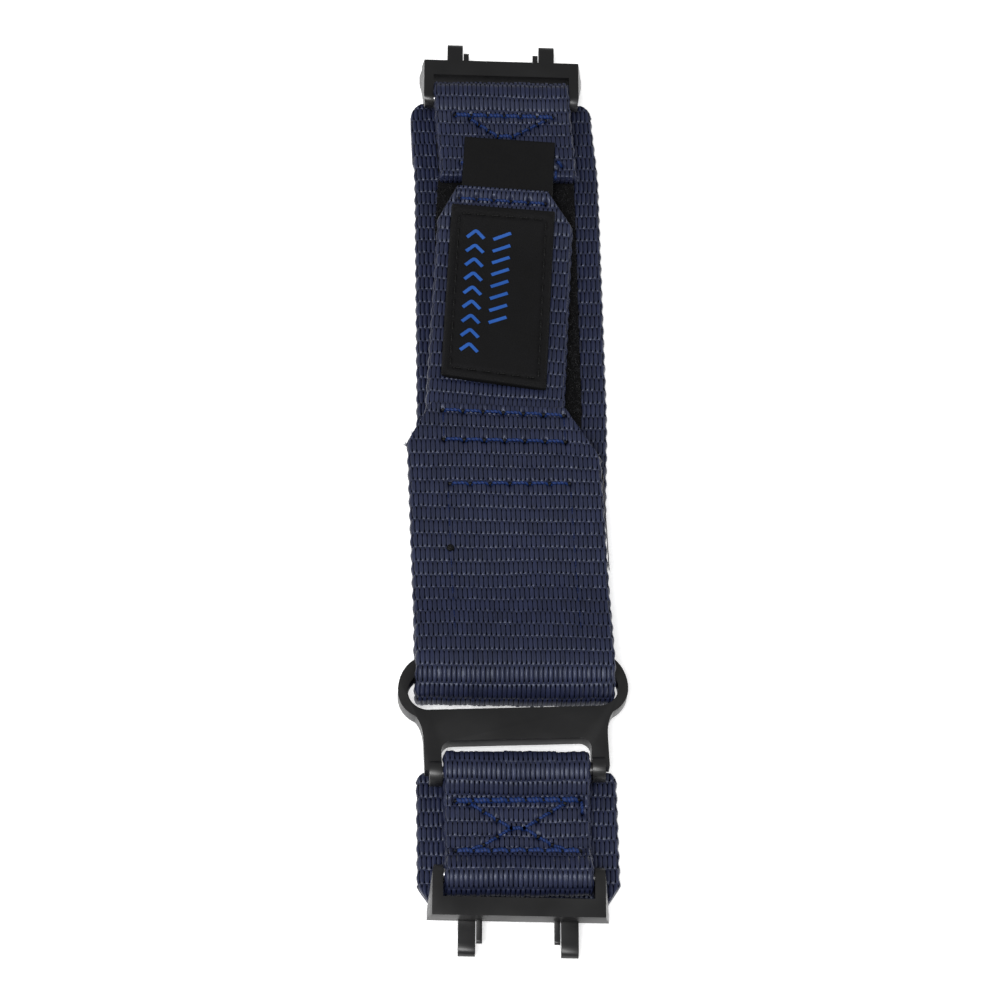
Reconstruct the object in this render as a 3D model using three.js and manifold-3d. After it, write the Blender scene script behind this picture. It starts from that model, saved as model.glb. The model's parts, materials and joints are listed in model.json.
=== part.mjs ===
// Hook-and-loop nylon band for a fitness tracker, laid flat and folded to its short size.
// Millimetres, +Z up, +Y towards the top connector, X across the band.
// The origin is on the surface that the band lies on, at the middle of its length.

import * as THREE from 'three';
import { mergeVertices } from 'three/addons/utils/BufferGeometryUtils.js';
import Module from 'manifold-3d';

const wasm = await Module();
wasm.setup();

// ---------------------------------------------------------------- driving dimensions

const WIDE = 22;              // wide webbing
const NARROW = 16;            // narrow webbing
const WEB = 1.3;              // thickness of the wide webbing
const THIN = 1.15;            // thickness of the narrow webbing
const LOOP = 0.9;             // thickness of the loop strip
const LOOP_WIDE = 16.6;
const LOOP_X = -0.3;          // the loop strip is sewn a little to the left
const HOOK = 0.8;             // thickness of the hook patch
const GAP = 0.05;             // clearance between soft layers
const SPLIT = 0.3;            // clearance where one soft piece is split at its bend

const PIN_Y = 49.8;           // connector pins, from the middle of the band
const PIN_Z = 3.5;            // height of all three cross pins
const PIN_R = 0.75;
const PIN_FIT = 0.05;         // clearance of a pin in its hole
const EYE_R = 1;              // inside of the webbing where it goes round a pin

const RING_BAR = { y: -25.5, z: 3.6, depth: 1, halfX: 8.9, ear: 0.9 };   // ears rise past the bar at its ends
const FOLD_R = RING_BAR.z - WEB / 2;       // centreline of the wide webbing round the ring bar
const RETURN_Z = 5.05;        // centreline of the return layer where it lies flat
const RETURN_END = -1.1;
const PEEL_Y = -0.8;          // bend line of the closure tab
const BUCKLE_PIN_Y = -37.6;
const BUCKLE_YAW = 1.6;       // degrees, as the buckle and the connectors hang a little askew
const BUCKLE_X = 0.08;
const CONNECTOR_YAW = -1.2;

const BASE_END = 50.85;       // far end of the wide webbing under the top connector
const LOOP_END = 45.8;

const TAB = { start: 1.2, rise: 27, end: 35.9, z: 3.75, lift: 2.05, yaw: -3.8, seamX: -2 };
const LABEL = { start: 10.05, end: 33.5, width: 12.2, thick: 1, x: -0.35 };
const PULL = { root: 29.5, end: 43.4, width: 10.8, thick: 0.5, z: 4.9 };
const TOP_LOOP = { upper: 38.25, lower: 38.8 };      // cut ends of its two layers

const CONNECTOR = { width: 18.6, inner: 16.3, near: 2.85, far: 4.95, low: -1.9, high: 1.1, armR: 1.1 };
const FLARE = 0.5;            // how much wider a connector is at its underside, on each side
const UNDERCUT = { from: -0.3, depth: 0.45 };
const POCKET = { near: 3.15, far: 4.25, halfX: 6.6, ceiling: 0.1 };
const COVER = { margin: 0.12, thick: 0.35, fit: 0.03 };
const PRONG = { x: 5.53, width: 1.85, flat: 2.5, length: 3.75, top: -0.6, nose: -1.3 };
const LATCH = { x: 4.18, width: 0.62, reach: 2.4, low: -1.35, high: -0.75, clear: 0.08 };
const SLIDER = { near: 3.7, far: 4.22, halfX: 6.2, low: -1.45, high: 0.05 };
const THUMB = { halfX: 2.2, near: 3.72, far: 4.1, low: -1.85 };
const WINDOW = { halfX: 2.5, near: 3.18, far: 4.2 };

// ---------------------------------------------------------------- materials

const webbing = new THREE.MeshStandardMaterial({ color: 0x2d304b, roughness: 0.72, metalness: 0 });
const looped = new THREE.MeshStandardMaterial({ color: 0x121318, roughness: 0.95, metalness: 0 });
const hooked = new THREE.MeshStandardMaterial({ color: 0x17181c, roughness: 0.8, metalness: 0 });
const patch = new THREE.MeshStandardMaterial({ color: 0x161618, roughness: 0.6, metalness: 0 });
const moulded = new THREE.MeshStandardMaterial({ color: 0x2b2b2d, roughness: 0.45, metalness: 0 });
const steel = new THREE.MeshStandardMaterial({ color: 0x8d8f92, roughness: 0.35, metalness: 1 });

// ---------------------------------------------------------------- shape helpers

// Swaps an extrusion's axes so that its outline lies in Y and Z and its depth runs along X.
const ACROSS = new THREE.Matrix4().makeBasis(
  new THREE.Vector3(0, 1, 0),
  new THREE.Vector3(0, 0, 1),
  new THREE.Vector3(1, 0, 0),
);

function extrudeAcross(shape, low, high, segments = 24) {
  const solid = new THREE.ExtrudeGeometry(shape, {
    depth: high - low,
    bevelEnabled: false,
    curveSegments: segments,
  });
  return solid.applyMatrix4(ACROSS).translate(low, 0, 0);
}

function extrudeUp(shape, low, high, segments = 24) {
  const solid = new THREE.ExtrudeGeometry(shape, {
    depth: high - low,
    bevelEnabled: false,
    curveSegments: segments,
  });
  return solid.translate(0, 0, low);
}

function rectangle(lowX, lowY, highX, highY) {
  const shape = new THREE.Shape();
  shape.moveTo(lowX, lowY);
  shape.lineTo(highX, lowY);
  shape.lineTo(highX, highY);
  shape.lineTo(lowX, highY);
  shape.closePath();
  return shape;
}

function polygon(points) {
  return new THREE.Shape(points.map(([x, y]) => new THREE.Vector2(x, y)));
}

function block(low, high) {
  return extrudeUp(rectangle(low[0], low[1], high[0], high[1]), low[2], high[2]);
}

function rodAcross(y, z, radius, low, high, segments = 32) {
  const round = new THREE.Shape();
  round.absarc(y, z, radius, 0, 2 * Math.PI);
  return extrudeAcross(round, low, high, segments);
}

function toSolid(geometry) {
  const bare = geometry.clone();
  bare.deleteAttribute('normal');
  bare.deleteAttribute('uv');
  const merged = mergeVertices(bare, 1e-5);
  return new wasm.Manifold(new wasm.Mesh({
    numProp: 3,
    vertProperties: new Float32Array(merged.attributes.position.array),
    triVerts: new Uint32Array(merged.index.array),
  }));
}

function toGeometry(solid) {
  const mesh = solid.getMesh();
  const geometry = new THREE.BufferGeometry();
  geometry.setAttribute('position', new THREE.BufferAttribute(mesh.vertProperties.slice(), 3));
  geometry.setIndex(new THREE.BufferAttribute(mesh.triVerts.slice(), 1));
  geometry.computeVertexNormals();
  return geometry;
}

function join(...pieces) {
  return toGeometry(pieces.map(toSolid).reduce((whole, piece) => whole.add(piece)));
}

function cut(whole, ...pieces) {
  return toGeometry(pieces.map(toSolid).reduce((rest, piece) => rest.subtract(piece), toSolid(whole)));
}

function trim(whole, keep) {
  return toGeometry(toSolid(whole).intersect(toSolid(keep)));
}

// The points of a run of webbing seen from its edge, without any that coincide.
function run(path, divisions = 16) {
  const points = path.getPoints(divisions);
  return points.filter((p, i) => i === 0 || p.distanceTo(points[i - 1]) > 0.02);
}

// Points moved off a run along its left-hand normal.
function beside(points, distance) {
  return points.map((point, i) => {
    const before = points[Math.max(i - 1, 0)];
    const after = points[Math.min(i + 1, points.length - 1)];
    const along = after.clone().sub(before).normalize();
    return new THREE.Vector2(point.x - along.y * distance, point.y + along.x * distance);
  });
}

// A layer of cloth between two distances from a run, extruded across the band.
function layer(points, from, to, width, centreX = 0) {
  const outline = [...beside(points, from), ...beside(points, to).reverse()];
  return extrudeAcross(new THREE.Shape(outline), centreX - width / 2, centreX + width / 2);
}

// A rectangle in plan whose corners at one or both ends are rounded or cut off.
function planPlate(halfX, lowY, highY, lowCut, highCut) {
  return polygon([
    [-halfX + lowCut[0], lowY],
    [halfX - lowCut[0], lowY],
    [halfX, lowY + lowCut[1]],
    [halfX, highY - highCut[1]],
    [halfX - highCut[0], highY],
    [-halfX + highCut[0], highY],
    [-halfX, highY - highCut[1]],
    [-halfX, lowY + lowCut[1]],
  ]);
}

function planRounded(halfX, lowY, highY, radius) {
  const shape = new THREE.Shape();
  shape.moveTo(-halfX, lowY);
  shape.lineTo(halfX, lowY);
  shape.absarc(halfX - radius, highY - radius, radius, 0, Math.PI / 2);
  shape.absarc(-halfX + radius, highY - radius, radius, Math.PI / 2, Math.PI);
  shape.closePath();
  return shape;
}

// ---------------------------------------------------------------- wide webbing and loop strip

// Base layer from the top end down to the ring bar, round it, and back up as the return layer.
function foldedRun(baseStart, returnEnd) {
  const { y, z } = RING_BAR;
  const path = new THREE.Path();
  path.moveTo(baseStart, z - FOLD_R);
  path.lineTo(y, z - FOLD_R);
  path.absarc(y, z, FOLD_R, -Math.PI / 2, -3 * Math.PI / 2, true);
  path.bezierCurveTo(y + 5, z + FOLD_R, y + 7, RETURN_Z, y + 12, RETURN_Z);
  path.lineTo(returnEnd, RETURN_Z);
  return run(path, 20);
}

function mainWebbing() {
  const folded = layer(foldedRun(BASE_END, RETURN_END), -WEB / 2, WEB / 2, WIDE);
  const plan = extrudeUp(planRounded(WIDE / 2, RING_BAR.y - 5, BASE_END, 2), -1, 9);
  return trim(folded, plan);
}

function loopStrip() {
  const inner = -(WEB / 2 + GAP);
  return layer(foldedRun(LOOP_END, RETURN_END - 1.5), inner - LOOP, inner, LOOP_WIDE, LOOP_X);
}

// The last of the wide webbing, cut to a blunt point, which is sewn on the closure tab.
function flapWebbingEnd() {
  const start = PEEL_Y;
  const plan = polygon([
    [-WIDE / 2, start],
    [WIDE / 2, start],
    [WIDE / 2, start + 1],
    [7.2, 6.9],
    [-8, 6.9],
    [-WIDE / 2, 2],
  ]);
  return extrudeUp(plan, RETURN_Z - WEB / 2, RETURN_Z + WEB / 2);
}

// ---------------------------------------------------------------- closure tab

// The tab lies flat, then rises over the parts below its free end.
function tabRun(from, to) {
  const steps = 12;
  const points = [new THREE.Vector2(from, tabHeight(from))];
  const bendFrom = Math.max(from, TAB.rise);
  for (let i = 0; i <= steps; i += 1) {
    const y = bendFrom + (to - bendFrom) * (i / steps);
    if (y > points[points.length - 1].x + 0.02) {
      points.push(new THREE.Vector2(y, tabHeight(y)));
    }
  }
  return points;
}

function tabHeight(y) {
  const share = THREE.MathUtils.clamp((y - TAB.rise) / (TAB.end - TAB.rise), 0, 1);
  return TAB.z + TAB.lift * share * share * (1.6 - 0.6 * share);
}

function closureTab() {
  const strap = layer(tabRun(TAB.start, TAB.end), -THIN / 2, THIN / 2, NARROW);
  return trim(strap, extrudeUp(planPlate(NARROW / 2, 0, TAB.end, [0, 0], [2.4, 4.3]), 0, 9));
}

function hookPatch() {
  const top = TAB.z - THIN / 2 - GAP;
  return extrudeUp(planPlate(6.8, 2.5, 27, [0.8, 0.8], [0.8, 0.8]), top - HOOK, top);
}

function labelPatch() {
  const low = THIN / 2 + GAP;
  return layer(tabRun(LABEL.start, LABEL.end), low, low + LABEL.thick, LABEL.width, LABEL.x);
}

function pullTabRoot() {
  const high = -(THIN / 2 + GAP);
  return layer(tabRun(PULL.root, TAB.end - 2 * SPLIT), high - PULL.thick, high, PULL.width);
}

function pullTab() {
  const plan = rectangle(-PULL.width / 2, TAB.end + SPLIT, PULL.width / 2, PULL.end);
  return extrudeUp(plan, PULL.z - PULL.thick / 2, PULL.z + PULL.thick / 2);
}

// ---------------------------------------------------------------- narrow webbing on the pins

// Narrow webbing doubled round the top connector's pin, with both ends on the base layer.
function topLoopWebbing() {
  const wrap = EYE_R + THIN / 2;
  const lowZ = 1.3 + GAP + LOOP + GAP + THIN / 2;
  const highZ = lowZ + THIN + GAP;
  const path = new THREE.Path();
  path.moveTo(TOP_LOOP.lower, lowZ);
  path.lineTo(46, lowZ);
  path.bezierCurveTo(47.3, lowZ, 48.2, PIN_Z - wrap, PIN_Y, PIN_Z - wrap);
  path.absarc(PIN_Y, PIN_Z, wrap, -Math.PI / 2, Math.PI / 2);
  path.bezierCurveTo(48, PIN_Z + wrap, 47.5, highZ, 44.5, highZ);
  path.lineTo(TOP_LOOP.upper, highZ);
  return layer(run(path), -THIN / 2, THIN / 2, NARROW);
}

// Narrow webbing round the buckle pin and the bottom connector's pin, its ends met underneath.
function shortWebbing() {
  const wrap = EYE_R + THIN / 2;
  const middle = (BUCKLE_PIN_Y - PIN_Y) / 2;
  const lowZ = WEB + GAP + THIN / 2 + 0.1;
  const highZ = lowZ + THIN + GAP;
  const half = 2.6;
  const path = new THREE.Path();
  path.moveTo(middle + SPLIT / 2, lowZ);
  path.lineTo(middle + half, lowZ);
  path.bezierCurveTo(middle + half + 1, lowZ, BUCKLE_PIN_Y - 1, PIN_Z - wrap, BUCKLE_PIN_Y, PIN_Z - wrap);
  path.absarc(BUCKLE_PIN_Y, PIN_Z, wrap, -Math.PI / 2, Math.PI / 2);
  path.bezierCurveTo(BUCKLE_PIN_Y - 1.5, PIN_Z + wrap, middle + half + 1.2, highZ, middle + half, highZ);
  path.lineTo(middle - half, highZ);
  path.bezierCurveTo(middle - half - 1.2, highZ, -PIN_Y + 1.5, PIN_Z + wrap, -PIN_Y, PIN_Z + wrap);
  path.absarc(-PIN_Y, PIN_Z, wrap, Math.PI / 2, 3 * Math.PI / 2);
  path.bezierCurveTo(-PIN_Y + 1, PIN_Z - wrap, middle - half - 1, lowZ, middle - half, lowZ);
  path.lineTo(middle - SPLIT / 2, lowZ);
  return layer(run(path), -THIN / 2, THIN / 2, NARROW);
}

// Wide webbing under the short strap, which keeps the hardware off the wrist.
function wristPad() {
  const plan = planPlate(WIDE / 2, -52.3, -36.55, [1.15, 2.25], [1.4, 1.4]);
  return extrudeUp(plan, 0, WEB);
}

// ---------------------------------------------------------------- buckle

const BUCKLE = {
  halfX: 12.7,        // outside of the ring
  slotHalfX: 11.6,
  slotHigh: 4.45,     // from the ring bar to the cross plate
  plateHigh: 3.75,    // cross plate along the band
  plateR: 1.2,        // fillets between the plate and the legs
  legOuter: 10.1,
  legInner: 8.2,
  lugOuter: 9.6,
  lugR: 1.45,
  low: 2.7,
  high: 4.5,
};

// The round-ended ring, the cross plate under it and the two legs, drawn about the buckle's pin.
function buckleOutline() {
  const barY = RING_BAR.y - BUCKLE_PIN_Y;
  const slotTop = barY - RING_BAR.depth / 2;
  const slotBottom = slotTop - BUCKLE.slotHigh;
  const slotR = BUCKLE.slotHigh / 2;
  const wire = BUCKLE.halfX - BUCKLE.slotHalfX;
  const ringR = slotR + wire;
  const ringX = BUCKLE.halfX - ringR;
  const ringY = (slotTop + slotBottom) / 2;
  const barTop = barY + RING_BAR.depth / 2;
  const topEdge = barTop + RING_BAR.ear;
  const shoulderX = 0.55 * ringR;
  const shoulderY = 0.55 * (topEdge - ringY);
  const plateEnd = slotBottom - BUCKLE.plateHigh;
  const legEnd = 0;
  const filletX = BUCKLE.legInner - BUCKLE.plateR;
  const joinAngle = 0.35 * Math.PI;        // where the ring's outside runs into a leg
  const joinX = ringX + ringR * Math.cos(joinAngle);
  const joinY = ringY - ringR * Math.sin(joinAngle);
  const earX = RING_BAR.halfX + RING_BAR.ear;
  const shape = new THREE.Shape();
  shape.moveTo(-RING_BAR.halfX, barTop);
  shape.lineTo(-earX, topEdge);
  shape.bezierCurveTo(-ringX - shoulderX, topEdge, -BUCKLE.halfX, ringY + shoulderY, -BUCKLE.halfX, ringY);
  shape.absarc(-ringX, ringY, ringR, Math.PI, Math.PI + joinAngle);
  shape.quadraticCurveTo(-BUCKLE.legOuter, plateEnd + 2, -BUCKLE.legOuter, plateEnd);
  shape.lineTo(-BUCKLE.legOuter, legEnd);
  shape.lineTo(-BUCKLE.legInner, legEnd);
  shape.lineTo(-BUCKLE.legInner, plateEnd - BUCKLE.plateR);
  shape.absarc(-filletX, plateEnd - BUCKLE.plateR, BUCKLE.plateR, Math.PI, Math.PI / 2, true);
  shape.absarc(filletX, plateEnd - BUCKLE.plateR, BUCKLE.plateR, Math.PI / 2, 0, true);
  shape.lineTo(BUCKLE.legInner, legEnd);
  shape.lineTo(BUCKLE.legOuter, legEnd);
  shape.lineTo(BUCKLE.legOuter, plateEnd);
  shape.quadraticCurveTo(BUCKLE.legOuter, plateEnd + 2, joinX, joinY);
  shape.absarc(ringX, ringY, ringR, -joinAngle, 0);
  shape.bezierCurveTo(BUCKLE.halfX, ringY + shoulderY, ringX + shoulderX, topEdge, earX, topEdge);
  shape.lineTo(RING_BAR.halfX, barTop);
  shape.closePath();
  const slot = new THREE.Path();
  const slotX = BUCKLE.slotHalfX - slotR;
  slot.absarc(slotX, ringY, slotR, -Math.PI / 2, Math.PI / 2);
  slot.absarc(-slotX, ringY, slotR, Math.PI / 2, 3 * Math.PI / 2);
  slot.closePath();
  shape.holes.push(slot);
  return shape;
}

function buckleFrame() {
  const plate = extrudeUp(buckleOutline(), BUCKLE.low, BUCKLE.high, 20);
  const lugs = [-1, 1].map((side) => {
    const low = Math.min(side * BUCKLE.legInner, side * BUCKLE.lugOuter);
    const high = Math.max(side * BUCKLE.legInner, side * BUCKLE.lugOuter);
    return rodAcross(0, PIN_Z, BUCKLE.lugR, low, high, 40);
  });
  const hole = rodAcross(0, PIN_Z, PIN_R + PIN_FIT, -9.15, 9.15);
  return cut(join(plate, ...lugs), hole);
}

function bucklePin() {
  return rodAcross(0, PIN_Z, PIN_R, -9.1, 9.1);
}

// ---------------------------------------------------------------- tracker connectors

// A connector is drawn about its pin: Y away from the band, Z up.
function connectorArm(low, high) {
  const { near, high: top, low: bottom, armR } = CONNECTOR;
  const outline = new THREE.Shape();
  outline.moveTo(near + 0.5, bottom);
  outline.lineTo(near + 0.5, top);
  outline.lineTo(0, armR);
  outline.absarc(0, 0, armR, Math.PI / 2, 3 * Math.PI / 2);
  outline.lineTo(0.6, -armR);
  outline.quadraticCurveTo(near - 0.6, -armR, near, bottom);
  outline.closePath();
  return extrudeAcross(outline, low, high, 16);
}

function connectorProng(side) {
  const root = CONNECTOR.far - 0.8;
  const tip = CONNECTOR.far + PRONG.length;
  const outline = new THREE.Shape();
  outline.moveTo(root, CONNECTOR.low);
  outline.lineTo(tip - 0.5, CONNECTOR.low);
  outline.quadraticCurveTo(tip, CONNECTOR.low, tip, PRONG.nose);
  outline.quadraticCurveTo(tip - 0.1, PRONG.top, CONNECTOR.far + PRONG.flat, PRONG.top);
  outline.lineTo(root, PRONG.top);
  outline.closePath();
  const middle = side * PRONG.x;
  return extrudeAcross(outline, middle - PRONG.width / 2, middle + PRONG.width / 2, 8);
}

// The bar's section: its outer face stops half way down and the metal below it is set back.
function connectorBar(half) {
  const { near, far, low, high } = CONNECTOR;
  const outline = polygon([
    [near, low],
    [far - UNDERCUT.depth, low],
    [far - UNDERCUT.depth, UNDERCUT.from - 0.25],
    [far, UNDERCUT.from],
    [far, high],
    [near, high],
  ]);
  return extrudeAcross(outline, -half, half);
}

// A plan that narrows along the arms towards the pin.
function taperedPlan(half) {
  const armEnd = half - 0.3;
  const wide = half + FLARE;
  const start = CONNECTOR.near + 0.6;
  return polygon([
    [-armEnd, -CONNECTOR.armR - 1],
    [armEnd, -CONNECTOR.armR - 1],
    [wide, start],
    [wide, 12],
    [-wide, 12],
    [-wide, start],
  ]);
}

// What lies between two side faces that lean out towards the underside.
function flaredEnvelope(half) {
  const { low, high } = CONNECTOR;
  const section = polygon([
    [-half - FLARE, low - 1],
    [half + FLARE, low - 1],
    [half + FLARE, low],
    [half, high],
    [half, high + 1],
    [-half, high + 1],
    [-half, high],
    [-half - FLARE, low],
  ]);
  const solid = new THREE.ExtrudeGeometry(section, { depth: 20, bevelEnabled: false });
  return solid.rotateX(Math.PI / 2).translate(0, 12, 0);
}

function connectorBody() {
  const half = CONNECTOR.width / 2;
  const wide = half + FLARE;
  const inner = CONNECTOR.inner / 2;
  const bar = connectorBar(wide);
  const arms = [connectorArm(-wide, -inner), connectorArm(inner, wide)];
  const prongs = [connectorProng(-1), connectorProng(1)];
  const pinHole = rodAcross(0, 0, PIN_R + PIN_FIT, -half + 0.6, half - 0.6);
  const { near, far, halfX, ceiling } = POCKET;
  const pocket = block([-halfX, near, CONNECTOR.low - 1], [halfX, far, ceiling]);
  const ledge = block(
    [-halfX - COVER.margin, near - COVER.margin, CONNECTOR.low - 1],
    [halfX + COVER.margin, far + COVER.margin, CONNECTOR.low + COVER.thick + COVER.fit],
  );
  const slots = [-1, 1].map((side) => block(
    [side * LATCH.x - LATCH.width / 2 - LATCH.clear, far - 0.1, LATCH.low - LATCH.clear],
    [side * LATCH.x + LATCH.width / 2 + LATCH.clear, CONNECTOR.far + 1, LATCH.high + LATCH.clear],
  ));
  const flared = trim(join(bar, ...arms, ...prongs), flaredEnvelope(half));
  const frame = trim(flared, extrudeUp(taperedPlan(half), -5, 5));
  return cut(frame, pinHole, pocket, ledge, ...slots);
}

function connectorPin() {
  const half = CONNECTOR.width / 2 - 0.65;
  return rodAcross(0, 0, PIN_R, -half, half);
}

// The sliding latch: a bar in the pocket, an arm beside each prong and a ribbed thumb pad below.
function latchSlider() {
  const { near, far, halfX, low, high } = SLIDER;
  const body = block([-halfX, near, low], [halfX, far, high]);
  const arms = [-1, 1].map((side) => {
    const reach = CONNECTOR.far + LATCH.reach;
    const outline = new THREE.Shape();
    outline.moveTo(far - 0.3, LATCH.low);
    outline.lineTo(reach - 0.3, LATCH.low);
    outline.absarc(reach - 0.3, (LATCH.low + LATCH.high) / 2, 0.3, -Math.PI / 2, Math.PI / 2);
    outline.lineTo(far - 0.3, LATCH.high);
    outline.closePath();
    const middle = side * LATCH.x;
    return extrudeAcross(outline, middle - LATCH.width / 2, middle + LATCH.width / 2, 8);
  });
  const pad = block([-THUMB.halfX, THUMB.near, THUMB.low], [THUMB.halfX, THUMB.far, low + 0.2]);
  const ribs = [-1.5, -0.5, 0.5, 1.5].map((x) => block(
    [x - 0.15, THUMB.near - 1, THUMB.low - 1],
    [x + 0.15, THUMB.far + 1, THUMB.low + 0.12],
  ));
  return cut(join(body, ...arms, pad), ...ribs);
}

// A bowed leaf that lies behind the slider and pushes it out.
function latchSpring() {
  const halfX = 5;
  const thick = 0.1;
  const restY = POCKET.near + GAP;
  const bow = SLIDER.near - restY - thick - GAP;
  const steps = 16;
  const points = Array.from({ length: steps + 1 }, (_, i) => {
    const x = -halfX + (2 * halfX * i) / steps;
    return new THREE.Vector2(x, restY + thick / 2 + bow * Math.cos((x / halfX) * Math.PI / 2) ** 2);
  });
  const outline = [...beside(points, -thick / 2), ...beside(points, thick / 2).reverse()];
  return extrudeUp(new THREE.Shape(outline), -1, -0.1);
}

function latchCover() {
  const reach = COVER.margin - COVER.fit;
  const plate = rectangle(
    -POCKET.halfX - reach,
    POCKET.near - reach,
    POCKET.halfX + reach,
    POCKET.far + reach,
  );
  plate.holes.push(rectangle(-WINDOW.halfX, WINDOW.near, WINDOW.halfX, WINDOW.far));
  return extrudeUp(plate, CONNECTOR.low, CONNECTOR.low + COVER.thick);
}

// ---------------------------------------------------------------- assembly

const band = new THREE.Group();

function add(group, name, geometry, material) {
  const mesh = new THREE.Mesh(geometry, material);
  mesh.name = name;
  group.add(mesh);
}

function addConnector(prefix, pinY, turn) {
  const group = new THREE.Group();
  group.position.set(0, pinY, PIN_Z);
  group.rotation.z = turn + THREE.MathUtils.degToRad(CONNECTOR_YAW);
  add(group, `${prefix}_connector_body`, connectorBody(), moulded);
  add(group, `${prefix}_connector_pin`, connectorPin(), steel);
  add(group, `${prefix}_latch_slider`, latchSlider(), moulded);
  add(group, `${prefix}_latch_spring`, latchSpring(), steel);
  add(group, `${prefix}_latch_cover`, latchCover(), steel);
  band.add(group);
}

add(band, 'main_webbing', mainWebbing(), webbing);
add(band, 'loop_strip', loopStrip(), looped);
add(band, 'top_loop_webbing', topLoopWebbing(), webbing);
add(band, 'flap_webbing_end', flapWebbingEnd(), webbing);

const tab = new THREE.Group();
tab.position.set(TAB.seamX, 0, 0);
tab.rotation.z = THREE.MathUtils.degToRad(TAB.yaw);
add(tab, 'closure_tab', closureTab(), webbing);
add(tab, 'hook_patch', hookPatch(), hooked);
add(tab, 'label_patch', labelPatch(), patch);
add(tab, 'pull_tab_root', pullTabRoot(), patch);
add(tab, 'pull_tab', pullTab(), patch);
band.add(tab);

const buckle = new THREE.Group();
buckle.position.set(BUCKLE_X, BUCKLE_PIN_Y, 0);
buckle.rotation.z = THREE.MathUtils.degToRad(BUCKLE_YAW);
add(buckle, 'buckle_frame', buckleFrame(), moulded);
add(buckle, 'buckle_pin', bucklePin(), steel);
band.add(buckle);

add(band, 'short_webbing', shortWebbing(), webbing);
add(band, 'wrist_pad', wristPad(), webbing);

addConnector('top', PIN_Y, 0);
addConnector('bottom', -PIN_Y, Math.PI);

export default band;
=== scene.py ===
"""The looks of a hook-and-loop band for a fitness tracker: webbing, stitches, pile and satin hardware.

Lengths in this script are millimetres until a mesh is made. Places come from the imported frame.
A sheet is a run of cloth seen from its edge, and a point on it is (u across, s along, off its middle).
"""

import json
import math

import bmesh
import bpy
import numpy as np
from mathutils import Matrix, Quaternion, Vector


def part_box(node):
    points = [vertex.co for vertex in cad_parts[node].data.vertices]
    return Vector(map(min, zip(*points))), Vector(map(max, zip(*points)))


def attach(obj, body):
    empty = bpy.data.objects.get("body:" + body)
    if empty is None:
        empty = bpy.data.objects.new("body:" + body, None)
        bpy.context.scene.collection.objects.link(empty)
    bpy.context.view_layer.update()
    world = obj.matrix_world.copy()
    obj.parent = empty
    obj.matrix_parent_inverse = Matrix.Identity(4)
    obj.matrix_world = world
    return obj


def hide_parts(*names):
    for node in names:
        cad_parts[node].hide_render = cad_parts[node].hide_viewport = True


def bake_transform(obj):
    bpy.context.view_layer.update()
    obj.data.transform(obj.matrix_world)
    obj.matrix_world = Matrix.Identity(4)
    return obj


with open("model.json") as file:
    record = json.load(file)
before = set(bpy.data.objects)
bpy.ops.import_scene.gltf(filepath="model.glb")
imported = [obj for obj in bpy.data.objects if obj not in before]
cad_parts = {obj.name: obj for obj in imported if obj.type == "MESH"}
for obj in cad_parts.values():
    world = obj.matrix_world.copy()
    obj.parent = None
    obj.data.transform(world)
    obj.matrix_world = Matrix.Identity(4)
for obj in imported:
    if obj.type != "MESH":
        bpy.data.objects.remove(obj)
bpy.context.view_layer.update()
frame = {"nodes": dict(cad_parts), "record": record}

MM = 0.001

# ---- the frame, in millimetres

JOINTS = {j["name"]: j for j in frame["record"]["behaviour"]["joints"]}


def low_high(node):
    """The low and the high corner of a CAD node's box."""
    low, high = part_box(node)
    return np.array(low) / MM, np.array(high) / MM


def joint_at(name):
    """The place that a joint turns about."""
    return np.array(JOINTS[name]["pos_m"]) / MM


RING = joint_at("buckle_swing")
BUCKLE_PIN = joint_at("short_strap_swing")
TOP_PIN = joint_at("top_connector_swing")
BOTTOM_PIN = joint_at("bottom_connector_swing")
PEEL = joint_at("tab_peel")
LIFT = joint_at("pull_tab_lift")

MAIN_LOW, MAIN_HIGH = low_high("main_webbing")
FLAP_LOW, FLAP_HIGH = low_high("flap_webbing_end")
LOOP_LOW, LOOP_HIGH = low_high("loop_strip")
TOP_LOOP_LOW, TOP_LOOP_HIGH = low_high("top_loop_webbing")
SHORT_LOW, SHORT_HIGH = low_high("short_webbing")
PAD_LOW, PAD_HIGH = low_high("wrist_pad")
HOOK_LOW, HOOK_HIGH = low_high("hook_patch")

WIDE = MAIN_HIGH[0] - MAIN_LOW[0]
WEB = FLAP_HIGH[2] - FLAP_LOW[2]
NARROW = TOP_LOOP_HIGH[0] - TOP_LOOP_LOW[0]
THIN = 1.15  # thickness of the narrow webbing
LOOP = 0.9  # thickness of the loop strip
GAP = 0.05  # left between one layer and the next

LIFT_AXIS = JOINTS["pull_tab_lift"]["axis"]
YAW = math.atan2(LIFT_AXIS[1], LIFT_AXIS[0])  # the closure tab lies turned by this much
TURNED = dict(yaw=YAW, pivot=(LIFT[0] + LIFT[1] * math.tan(YAW), 0.0))

# ---- meshes


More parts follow.
